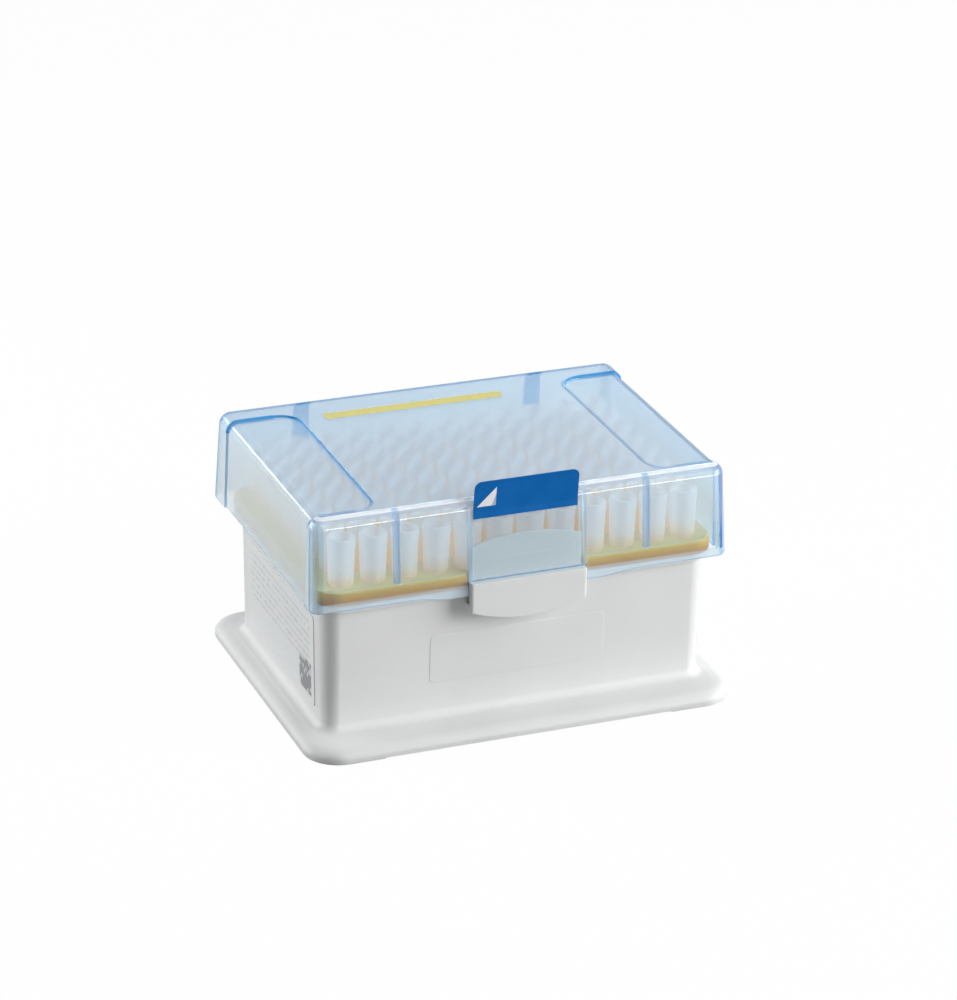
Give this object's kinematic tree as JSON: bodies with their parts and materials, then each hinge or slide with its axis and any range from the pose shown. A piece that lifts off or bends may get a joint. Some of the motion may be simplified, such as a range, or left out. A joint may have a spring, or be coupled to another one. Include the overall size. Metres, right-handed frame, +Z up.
{
  "type": "box of pipette tips",
  "caption": "Hinged laboratory box with a clear lid, press tab and seal label, holding disposable pipette tips upright in a perforated tray.",
  "frame": {"origin": "centre of the foot's underside, on the surface the box stands on", "axes": "+X right along the long front, +Y to the hinge side, -Y the front with the press tab, +Z up"},
  "size_m": [0.124, 0.0944, 0.0735],
  "materials": {
    "base": "satin",
    "tray": "satin",
    "lid": "clear gloss",
    "seal_label": "printed film",
    "end_label": "printed paper",
    "tips": "translucent"
  },
  "bodies": {
    "rack": {"base": "base", "tray": "tray", "end_label": "end_label", "tips_column_01": "tips", "tips_column_02": "tips", "tips_column_03": "tips", "tips_column_04": "tips", "tips_column_05": "tips", "tips_column_06": "tips", "tips_column_07": "tips", "tips_column_08": "tips", "tips_column_09": "tips", "tips_column_10": "tips", "tips_column_11": "tips", "tips_column_12": "tips"},
    "lid": {"lid": "lid", "seal_label": "seal_label"}
  },
  "joints": [
    {"name": "lid_hinge", "type": "hinge", "parent": "rack", "child": "lid", "pos_m": [0, 0.042, 0.044], "axis": [-1, 0, 0], "range_deg": [0, 105]}
  ]
}
